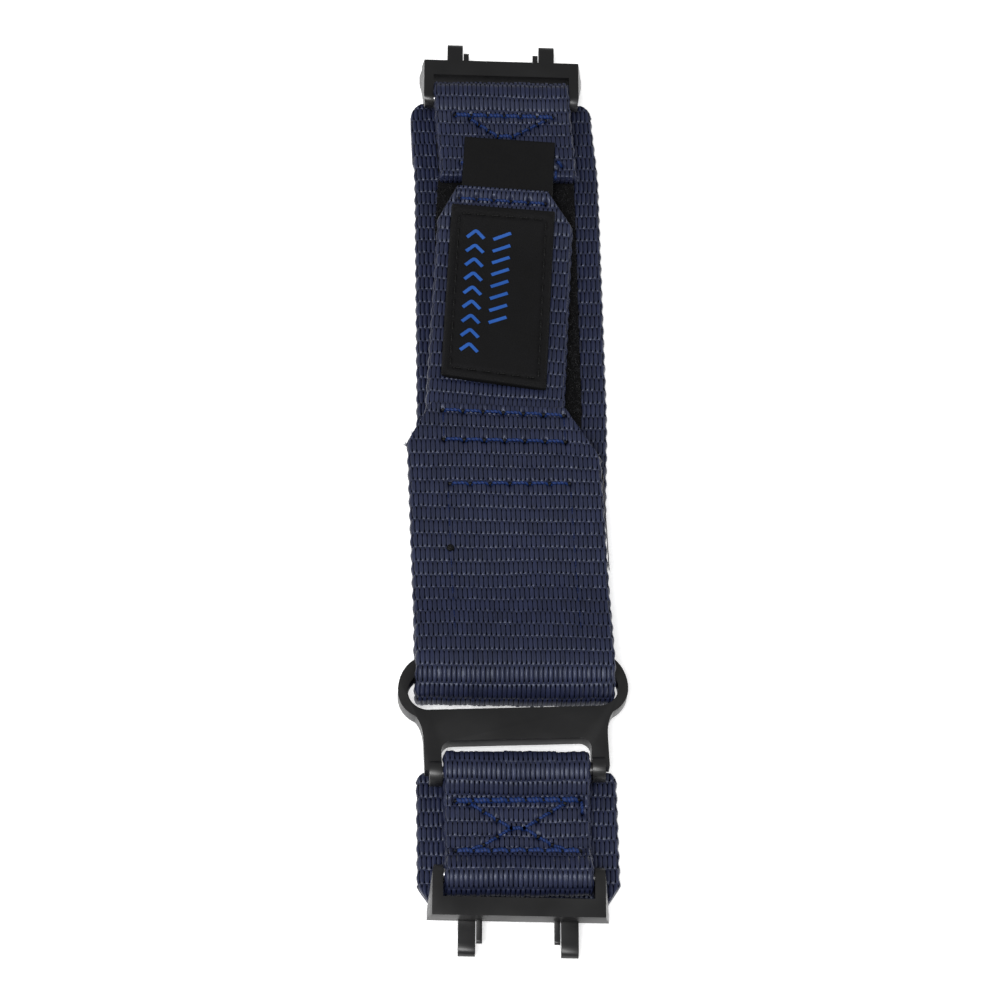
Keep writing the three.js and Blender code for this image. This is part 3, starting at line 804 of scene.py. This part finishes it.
# Each row of stitches on the return layer: its ends as (u, Y), count, radius, thread and body.
RETURN_ROWS = [
    ((-6.8, 5.9), (7.0, 5.85), 6, 0.18, BLUE_THREAD, "closure_tab"),
    ((-6.8, 2.25), (7.0, 2.3), 6, 0.18, BLUE_THREAD, "closure_tab"),
    ((-6.8, 5.7), (-6.8, 2.4), 2, 0.09, DIM_THREAD, "closure_tab"),
    ((7.0, 5.7), (7.0, 2.4), 2, 0.09, DIM_THREAD, "closure_tab"),
    ((-6.3, -3.35), (7.2, -3.25), 6, 0.18, BLUE_THREAD, "strap"),
    ((-6.6, -4.0), (-6.5, -22.5), 11, 0.085, DIM_THREAD, "strap"),
    ((7.3, -4.0), (7.4, -22.5), 11, 0.085, DIM_THREAD, "strap"),
]
MARKED_ROWS = (0, 1, 4)  # the bright rows across the webbing, which have dark needle marks


def make_wide_webbing():
    rounded = round_corner(BASE_HALF, 2.0, 0.0, 1e3, high=False)

    def narrowed(s):
        return rounded(s) - 0.35 * share(s, 9, 0)

    base_cut = Cut(BASE_HALF, narrowed, rounded)
    webbing(
        "base_webbing_cloth", MAIN, 0.15, SPLIT_S, base_cut, WEB, 11, "strap", "main_webbing",
        inner_margin=4.2,
    )
    rows = [(on_return(*a), on_return(*b), *rest) for a, b, *rest in RETURN_ROWS]
    flap = webbing(
        "return_webbing_cloth", MAIN, SPLIT_S, RETURN_END, Cut(BASE_HALF, LEFT_CUT, RIGHT_CUT), WEB, 11,
        None, "flap_webbing_end", [rows[index] for index in MARKED_ROWS],
    )
    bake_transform(flap)
    for index in MARKED_ROWS:
        knots(f"return_holes_{index}", MAIN, seam_holes(*rows[index][:3]), WEB / 2, rows[index][-1])
    for index, (*row, radius, thread, body) in enumerate(rows):
        paths = stitch_paths(MAIN, seam_holes(*row), WEB / 2 - 0.02, high=radius * 0.7)
        seam(f"return_seam_{index}", paths, radius, thread, body)


def make_cut_edges():
    """The pale bead where the return layer was cut hot, and loose filaments at its left corner."""
    stretches = ((-14.0, -1.9, "strap"), (0.0, FLAP_HIGH[1] - 0.2, "closure_tab"))
    for index, (low, high, body) in enumerate(stretches):
        s = np.linspace(on_return(0, low)[1], on_return(0, high)[1], 60)
        off = 0.22 + 0.10 * drift(s, 0 * s, 62, 0.8)
        bead = MAIN.place(RIGHT_CUT(s) + 0.10, s + 0.06 * drift(s, s, 61, 0.4), off)
        dress(tubes(f"melted_edge_{index}", [bead], 0.06), MELTED, "navy_webbing", body)
    ends = [(-BASE_HALF, CHAMFER_S, 150, 0.1, 14), (-BASE_HALF + 0.75, CHAMFER_S + 1.3, 140, 0.1, 7)]
    fray("return_fray", MAIN, ends, 63, "closure_tab")


def make_knot():
    """A tight knot of black thread standing on the return layer."""
    u, s = on_return(-6.6, -11.5)
    turn = np.linspace(0, 2.6 * math.pi, 22)
    loops = []
    for radius, start, lift in ((0.26, 0.0, 0.04), (0.18, 1.9, 0.16), (0.08, 4.0, 0.26)):
        off = WEB / 2 + lift + 0.12 * np.sin(2 * turn)
        loops.append(MAIN.place(u + radius * np.cos(turn + start), s + radius * np.sin(turn + start), off))
    dress(tubes("thread_knot", loops, 0.19), BLACK_THREAD, "navy_webbing", "strap")


# ---- loop strip


def make_loop_strip():
    sheet = folded_sheet(WEB / 2 + GAP + LOOP / 2)
    half = (LOOP_HIGH[0] - LOOP_LOW[0]) / 2
    middle = (LOOP_HIGH[0] + LOOP_LOW[0]) / 2
    bowed = sheet.shift

    def off_centre(s):
        dx, turn = bowed(s)
        return dx + middle, turn

    sheet.shift = off_centre
    start = MAIN_HIGH[1] - LOOP_HIGH[1]
    end = sheet.s_at(PEEL[1] - 1.8, sheet.turned)
    across = columns(half, 0.25)
    backing = LOOP - 0.25

    def trimmed(s):
        return half - 0.6 * share(s, start + 14.4, start + 5.4)

    def rough(u, s):
        return 0.05 * drift(u, s, 21, 0.5) - 0.06

    ground = strip(
        "loop_strip_ground", sheet, start, end, Cut(half, trimmed), backing, 0.6, across, across[::8],
        rough, rough, edge=0.3,
    )
    dress(ground, LOOP_GROUND, "loop_fastener", "strap", "loop_strip")
    low, high = sheet.s_at(TOP_LOOP_LOW[1]), sheet.s_at(FLAP_HIGH[1])
    fuzz = pile("loop_strip_pile", Mirrored(sheet), half, low, high, backing / 2, 9.0, 31)
    dress(fuzz, LOOP_PILE, "loop_fastener", "strap")


# ---- closure tab

TAB_START, TAB_END = 1.2, 35.9
TAB_HALF = 8.0
TAB_Z = HOOK_HIGH[2] + GAP + THIN / 2
TAB_RISE = 27.0  # from here its end curls up
TAB_LIFT = 2.05  # by this much


def tab_height(y):
    """The height of the closure tab's middle at a Y."""
    gone = share(y, TAB_RISE, TAB_END)
    return TAB_Z + TAB_LIFT * gone**2 * (1.6 - 0.6 * gone)


def tab_sheet(start, end, offset=0.0, sway=0.03, seed=5):
    """A layer at an offset above the closure tab's middle."""
    y = np.linspace(start, end, 400)
    z = tab_height(y)
    slope = np.arctan(np.gradient(z, y))
    run = np.stack([y - offset * np.sin(slope), z + offset * np.cos(slope)], axis=1)
    return Sheet(run, **TURNED, sway=sway, seed=seed)


def make_closure_tab():
    sheet = tab_sheet(TAB_START, TAB_END)
    end = sheet.length - 0.12
    cut_in = sheet.s_at(TAB_END - 4.3)
    cut = Cut(TAB_HALF, blunt(TAB_HALF, 2.2, cut_in, end), blunt(TAB_HALF, 3.3, cut_in, end))
    row_s = sheet.length - 1.6
    row = ((-5.6, row_s), (4.6, row_s), 5)
    holes = seam_holes(*row)
    webbing("closure_tab_cloth", sheet, 0.12, end, cut, THIN, 41, "closure_tab", "closure_tab", [row])
    seam("tab_end_seam", stitch_paths(sheet, holes, THIN / 2 - 0.06), 0.17, BLUE_THREAD, "closure_tab")
    knots("tab_end_holes", sheet, holes, THIN / 2, "closure_tab", 0.15)


def make_hook_patch():
    plate, half = 0.3, 6.8
    middle = HOOK_HIGH[2] - plate / 2
    sheet = Sheet(line((2.5, middle), (27.0, middle)), **TURNED)
    flat = columns(half, 0.4)
    ground = strip(
        "hook_patch_ground", sheet, 0.1, sheet.length - 0.1, Cut(half), plate, 0.8, flat, flat, edge=0.15
    )
    dress(ground, HOOK_GROUND, "hook_fastener", "closure_tab", "hook_patch")
    u, s = np.meshgrid(np.arange(-half + 0.4, half - 0.3, 0.55), np.arange(0.5, sheet.length - 0.4, 0.62))
    u = u + np.where(np.arange(u.shape[0])[:, None] % 2, 0.27, 0.0)
    tall = HOOK_HIGH[2] - HOOK_LOW[2] - plate
    t = np.linspace(0, 1, 8)
    tip = 0.6 * np.clip(t - 0.8, 0, 1)
    off = -plate / 2 - tall * np.sin(np.clip(t * 1.25, 0, 1) * math.pi / 2) + tip
    paths = sheet.place(u.reshape(-1, 1), s.reshape(-1, 1) + 0.26 * t**2, off)
    dress(tubes("hook_patch_hooks", paths, 0.06, sides=5), HOOKS, "hook_fastener", "closure_tab")


# ---- label

LABEL_START, LABEL_END = 10.05, 33.5
LABEL_HALF = 6.1
LABEL_X = -0.35
LABEL_THICK = 1.0
LABEL_SKEW = (-0.085, -0.014)  # slopes of its lower and upper edges, as it is sewn on askew
SEAM_INSET = 1.0  # from the label's edge to its stitches


def label_sheet():
    """The label's middle, on the closure tab."""
    middle = THIN / 2 + GAP + LABEL_THICK / 2
    sheet = tab_sheet(LABEL_START, LABEL_END, middle, sway=0.02, seed=8)

    def askew(s):
        return LABEL_X, np.interp(s, (0, sheet.length), LABEL_SKEW)

    sheet.shift = askew
    return sheet


def make_label():
    sheet = label_sheet()
    s0, s1 = 0.2, sheet.length - 0.2
    across = columns(LABEL_HALF, 0.15)

    def relief(u, s):
        side = LABEL_HALF - SEAM_INSET - np.abs(u)
        end = np.minimum(s - s0, s1 - s) - SEAM_INSET
        outside = -np.hypot(np.minimum(side, 0), np.minimum(end, 0))
        away = np.where((side > 0) & (end > 0), np.minimum(side, end), outside)
        groove = -0.13 * np.exp(-((away / 0.28) ** 2))
        crown = 0.10 * np.clip(away / 2.5, 0, 1)
        rim = -0.16 * np.exp(-(((away + SEAM_INSET) / 0.35) ** 2))
        return groove + crown + rim + 0.02 * drift(u, s, 51, 2.0)

    corner = round_corner(LABEL_HALF, 0.2, s0, s1)
    label = strip(
        "label_patch_leatherette", sheet, s0, s1, Cut(LABEL_HALF, corner, corner), LABEL_THICK, 0.15,
        across, across[::6], relief, edge=0.3,
    )
    dress(label, LEATHERETTE, "label_leatherette", "closure_tab", "label_patch")
    u0, v0, v1 = LABEL_HALF - SEAM_INSET, s0 + SEAM_INSET, s1 - SEAM_INSET
    corners = [(-u0, v0), (u0, v0), (u0, v1), (-u0, v1)]
    paths = []
    for a, b, count in zip(corners, corners[1:] + corners[:1], (6, 13, 6, 13)):
        holes = seam_holes(a, b, count)
        paths += stitch_paths(sheet, holes, LABEL_THICK / 2 - 0.12, sink=0.25, high=0.08, gap=0.2, steps=9)
    dress(tubes("label_seam", paths, 0.10, ply=0.12), BLACK_THREAD, "label_leatherette", "closure_tab")
    make_print(sheet, s1 - 4.1)


def make_print(sheet, first):
    """A printed pattern: a column of chevrons and a shorter column of slanted bars, down from a length."""
    top = LABEL_THICK / 2 + 0.105
    points, quads = [], []

    def ribbon(path, half=0.2):
        path = np.array(path, dtype=float)
        along = np.gradient(path, axis=0)
        along /= np.linalg.norm(along, axis=1, keepdims=True)
        normal = np.stack([-along[:, 1], along[:, 0]], axis=1)
        rails = [path + normal * half, path - normal * half]
        base = sum(len(p) for p in points)
        for rail, off in ((rails[0], -0.05), (rails[0], 0.02), (rails[1], 0.02), (rails[1], -0.05)):
            points.append(sheet.place(rail[:, 0], rail[:, 1], top + off))
        n = len(path)
        for ring in range(4):
            a, b = base + ring * n, base + (ring + 1) % 4 * n
            quads.extend([a + k, b + k, b + k + 1, a + k + 1] for k in range(n - 1))
        quads.append([base, base + 3 * n, base + 2 * n, base + n])
        quads.append([base + n - 1, base + 2 * n - 1, base + 3 * n - 1, base + 4 * n - 1])

    def chevron(u, s):
        a, b, c = (np.array(p, dtype=float) for p in ((u, s), (u + 1, s + 1), (u + 2, s)))
        t = np.linspace(0, 1, 5)[:, None]
        start, stop = b + (a - b) * 0.18, b + (c - b) * 0.18
        bend = start * (1 - t) ** 2 + 2 * b * t * (1 - t) + stop * t**2
        return np.concatenate([[a], bend, [c]])

    for k in range(9):
        ribbon(chevron(-4.05, first - 1.93 * k))
    for k in range(8):
        u, s = -0.95, first - 1.62 * k
        ribbon([(u, s), (u + 1, s + 0.5), (u + 2, s + 1)])
    points = np.concatenate(points)
    obj = mesh_object("label_print", points, quads, {"cloth": points})
    obj.data.shade_flat()
    dress(obj, PRINT, "label_leatherette", "closure_tab")


# ---- pull tab


def make_pull_tab():
    """Smooth tape sewn under the closure tab's end, from which it drops to lie flat."""
    thick, half = 0.5, 5.4
    under = THIN / 2 + GAP + thick / 2
    root, free = 29.5, 43.4
    flat_z = low_high("pull_tab")[0][2] + thick / 2
    y = np.linspace(root, TAB_END - 0.6, 60)
    z = tab_height(y)
    slope = np.arctan(np.gradient(z, y))
    held = np.stack([y + under * np.sin(slope), z - under * np.cos(slope)], axis=1)
    y0, z0 = held[-1]
    drop = bezier((y0, z0), (y0 + 1.6, z0 + 0.1), (y0 + 3.2, flat_z), (y0 + 5.2, flat_z - 0.02))
    flat = line(drop[-1], (free, flat_z))
    sheet = Sheet(held, drop[1:], flat[1:], **TURNED, sway=0.03, seed=9)
    across = columns(half, 0.1)

    def ripple(u, s):
        return 0.02 * drift(u, s, 61, 3.0)

    tab = strip(
        "pull_tab_tape", sheet, 0.1, sheet.length - 0.1, Cut(half), thick - 0.04, 0.3, across, across,
        ripple, ripple, edge=0.2, hem=0.06,
    )
    dress(tab, TAPE, "smooth_tape", None, "pull_tab_root", "pull_tab")
    toward = np.array([-math.sin(YAW), math.cos(YAW), 0])
    start, stop = (tuple((LIFT + toward * d) * MM) for d in (-0.5, 0.9))
    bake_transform(tab)
    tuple(start)
    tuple(stop)


# ---- narrow webbing


def make_top_loop():
    y, z = TOP_PIN[1], TOP_PIN[2]
    wrap = TOP_LOOP_HIGH[2] - z - THIN / 2
    low_z = MAIN_LOW[2] + WEB + GAP + LOOP + GAP + THIN / 2
    high_z = low_z + THIN + GAP
    raw = TOP_LOOP_LOW[1]
    sheet = Sheet(
        line((raw, high_z), (y - 5.5, high_z)),
        bezier((y - 5.5, high_z), (y - 2.5, high_z), (y - 2, z + wrap), (y, z + wrap)),
        arc((y, z), wrap, 90, -90),
        bezier((y, z - wrap), (y - 1.8, z - wrap), (y - 2.7, low_z), (y - 4, low_z)),
        line((y - 4, low_z), (raw + 0.55, low_z)),
        sway=0.05, seed=12,
    )

    def bowed(s):
        return bow(sheet.at(sheet.y, s)), 0.0

    sheet.shift = bowed
    high, low = 47.0 - raw, 44.0 - raw
    rows = [
        ((-5.8, high), (6.0, high - 0.25), 6, 0.25),
        ((-4.0, high - 0.5), (-0.9, low), 3, 0.17),
        ((5.0, high - 0.7), (0.9, low), 4, 0.17),
        ((-0.9, low), (0.9, low), 1, 0.22),
        ((-5.6, 1.9), (-4.6, 2.3), 1, 0.2),
        ((6.4, 1.6), (5.9, 2.4), 1, 0.2),
        ((5.6, -0.2), (5.7, 1.1), 1, 0.16),
    ]
    webbing(
        "top_loop_cloth", sheet, 0.12, sheet.length - 0.12, Cut(NARROW / 2 + 0.12), THIN, 71,
        "strap", "top_loop_webbing", rows,
    )
    box_seam("top", sheet, rows, "strap", 3, THIN / 2, 0.15)
    ends = [(0.0, 0.1, -90, 7.7, 70), (8.0, 0.3, -40, 0.2, 12), (-8.0, 0.3, -140, 0.2, 8)]
    fray("top_loop_fray", sheet, ends, 73, "strap")


def make_short_strap():
    y0, z, y1 = BOTTOM_PIN[1], BOTTOM_PIN[2], BUCKLE_PIN[1]
    wrap = SHORT_HIGH[2] - z - THIN / 2
    middle = (y0 + y1) / 2
    low_z = SHORT_LOW[2] + THIN / 2
    high_z = low_z + THIN + GAP
    low, high = middle - 2.6, middle + 2.6  # between these it lies flat
    sheet = Sheet(
        line((middle - 0.2, low_z), (y0, z - wrap)),
        arc((y0, z), wrap, 270, 90),
        bezier((y0, z + wrap), (y0 + 1.5, z + wrap), (low - 1.2, high_z), (low, high_z)),
        line((low, high_z), (high, high_z)),
        bezier((high, high_z), (high + 1.2, high_z), (y1 - 1.5, z + wrap), (y1, z + wrap)),
        arc((y1, z), wrap, 90, -90),
        line((y1, z - wrap), (middle + 0.2, low_z)),
        sway=0.05, seed=14,
    )
    top = middle - 0.2 - y0 + math.pi * wrap
    a, b = sheet.s_at(-47.5, top), sheet.s_at(-41.0, top)
    mid, side = (a + b) / 2, 0.7
    rows = [((-6.7, a), (6.7, a), 7, 0.33), ((-6.7, b - 0.1), (6.7, b + 0.1), 7, 0.33)]
    for u, s in ((-5.2, b - 0.4), (5.2, b - 0.4), (-5.2, a + 0.4), (5.2, a + 0.4)):
        rows.append(((u, s), (math.copysign(side, u), mid), 3, 0.18))
    rows += [((-side, mid), (side, mid), 1, 0.22), ((7.0, b), (7.1, b - 1.6), 1, 0.15)]
    webbing(
        "short_webbing_cloth", sheet, 0.1, sheet.length - 0.1, Cut(NARROW / 2), THIN, 81,
        "short_strap", "short_webbing", rows,
    )
    box_seam("short", sheet, rows, "short_strap", 6, THIN / 2 + 0.04, 0.19)


def make_wrist_pad():
    middle = (PAD_LOW[2] + PAD_HIGH[2]) / 2
    sheet = Sheet(line((PAD_LOW[1], middle), (PAD_HIGH[1], middle)), sway=0.04, seed=16)
    s0, s1 = 0.12, sheet.length - 0.12
    half = (PAD_HIGH[0] - PAD_LOW[0]) / 2
    rounded = round_corner(half, 1.6, s0, s1, low=False)
    slanted = blunt(half, 1.6, s0 + 2.4, s0)

    def edge(s):
        return np.minimum(rounded(s), slanted(s))

    def right(s):
        return 0.15, 0.0

    sheet.shift = right
    webbing("wrist_pad_cloth", sheet, s0, s1, Cut(half, edge, edge), WEB, 91, "short_strap", "wrist_pad")


# ---- hardware


def finished_copy(node, name, body, slot, width, segments):
    """A copy of a CAD solid with its sharp edges rounded and marked."""
    obj = bpy.data.objects.new(name, frame["nodes"][node].data.copy())
    obj.data.materials.clear()
    bpy.context.scene.collection.objects.link(obj)
    made = bmesh.new()
    made.from_mesh(obj.data)
    bmesh.ops.remove_doubles(made, verts=made.verts, dist=2e-6)
    bmesh.ops.dissolve_limit(made, angle_limit=math.radians(0.6), verts=made.verts, edges=made.edges)
    made.to_mesh(obj.data)
    made.free()
    bevel = obj.modifiers.new("round", "BEVEL")
    bevel.width = width * MM
    bevel.segments = segments
    bevel.limit_method = "ANGLE"
    bevel.angle_limit = math.radians(28)
    bevel.harden_normals = True
    bevel.use_clamp_overlap = True
    obj.data.shade_smooth()
    ready = obj.evaluated_get(bpy.context.evaluated_depsgraph_get())
    mesh = bpy.data.meshes.new_from_object(ready)
    obj.modifiers.clear()
    obj.data = mesh
    mesh.name = name
    mark_edges(mesh)
    return dress(obj, HARDWARE[slot], slot, body, node)


def mark_edges(mesh):
    """Stores on each point how small the faces round it are."""
    size = np.zeros(len(mesh.vertices))
    for face in mesh.polygons:
        for v in face.vertices:
            size[v] = max(size[v], face.area)
    rounded = np.clip(1 - size / 3e-7, 0, 1)
    layer = mesh.attributes.new("edge", "FLOAT_VECTOR", "POINT")
    layer.data.foreach_set("vector", np.repeat(rounded.astype(np.float32), 3))


def make_hardware():
    finished_copy("buckle_frame", "buckle_frame_finish", "buckle", "black_hardware", 0.38, 4)
    finished_copy("buckle_pin", "buckle_pin_finish", "buckle", "pin_steel", 0.12, 3)
    for end in ("top", "bottom"):
        body, latch = f"{end}_connector", f"{end}_latch"
        finished_copy(f"{end}_connector_body", f"{end}_connector_finish", body, "black_hardware", 0.24, 4)
        finished_copy(f"{end}_connector_pin", f"{end}_pin_finish", body, "pin_steel", 0.1, 3)
        finished_copy(f"{end}_latch_slider", f"{end}_slider_finish", latch, "black_hardware", 0.06, 2)
        finished_copy(f"{end}_latch_spring", f"{end}_spring_finish", body, "pin_steel", 0.02, 2)
        finished_copy(f"{end}_latch_cover", f"{end}_cover_finish", body, "dark_steel", 0.04, 2)


# ---- stage, light and camera

FLOOR = -0.25  # its height, just under the lowest needle dents
FLOOR_HALF = 1500.0


def make_stage():
    """White paper, with a little light of its own."""
    n = Nodes("floor_paper")
    place = n.add("ShaderNodeTexCoord").outputs["Object"]
    fine = n.noise(place, 900.0, 2.0)
    shade = n.mix(fine, (0.90, 0.90, 0.90, 1), (0.93, 0.93, 0.93, 1))
    n.shader.inputs["Emission Strength"].default_value = 0.45
    n.surface(Base_Color=shade, Emission_Color=shade, Roughness=n.range(fine, 0.3, 0.7, 0.85, 0.95))
    corners = [(-1, -1), (1, -1), (1, 1), (-1, 1)]
    points = [(x * FLOOR_HALF, y * FLOOR_HALF, FLOOR) for x, y in corners]
    floor = mesh_object("floor", points, [[0, 1, 2, 3]])
    floor.data.materials.append(n.material)


def area_light(name, place, size, power):
    """A rectangular light that looks at the origin, in metres and watts."""
    light = bpy.data.lights.new(name, "AREA")
    light.shape = "RECTANGLE"
    light.size, light.size_y = size
    light.energy = power
    obj = bpy.data.objects.new(name, light)
    obj.location = place
    obj.rotation_mode = "QUATERNION"
    obj.rotation_quaternion = (-Vector(place)).to_track_quat("-Z", "Y")
    bpy.context.scene.collection.objects.link(obj)


def make_light():
    world = bpy.data.worlds.new("studio")
    world.use_nodes = True
    sky = world.node_tree.nodes["Background"].inputs
    sky["Color"].default_value = (1, 1, 1, 1)
    sky["Strength"].default_value = 0.32
    bpy.context.scene.world = world
    area_light("key", (-0.12, -0.32, 0.66), (0.30, 0.20), 4.6)
    area_light("left", (-0.55, 0.10, 0.42), (0.5, 0.5), 0.7)
    area_light("right", (0.50, 0.15, 0.50), (0.5, 0.5), 0.6)


TILT = math.radians(27.6)  # the camera leans this far from straight above
SWING = math.radians(-6.2)  # and stands this far round to the band's left
DISTANCE = 405.0
ROLL = math.radians(-5.8)
TARGET = (-1.5, -1.85, 0.0)
LENS = 128.6


def make_camera():
    data = bpy.data.cameras.new("camera")
    data.lens = LENS
    data.sensor_width = 36
    data.clip_start, data.clip_end = 0.01, 10
    back = Vector((math.sin(SWING) * math.sin(TILT), -math.cos(SWING) * math.sin(TILT), math.cos(TILT)))
    camera = bpy.data.objects.new("camera", data)
    camera.location = (Vector(TARGET) + back * DISTANCE) * MM
    camera.rotation_mode = "QUATERNION"
    aim = (-back).to_track_quat("-Z", "Y")
    camera.rotation_quaternion = aim @ Quaternion((0, 0, 1), -ROLL)
    bpy.context.scene.collection.objects.link(camera)
    bpy.context.scene.camera = camera
    bpy.context.scene.view_settings.view_transform = "Standard"


make_camera()
make_light()
make_stage()
make_wide_webbing()
make_cut_edges()
make_knot()
make_loop_strip()
make_closure_tab()
make_hook_patch()
make_label()
make_pull_tab()
make_top_loop()
make_short_strap()
make_wrist_pad()
make_hardware()
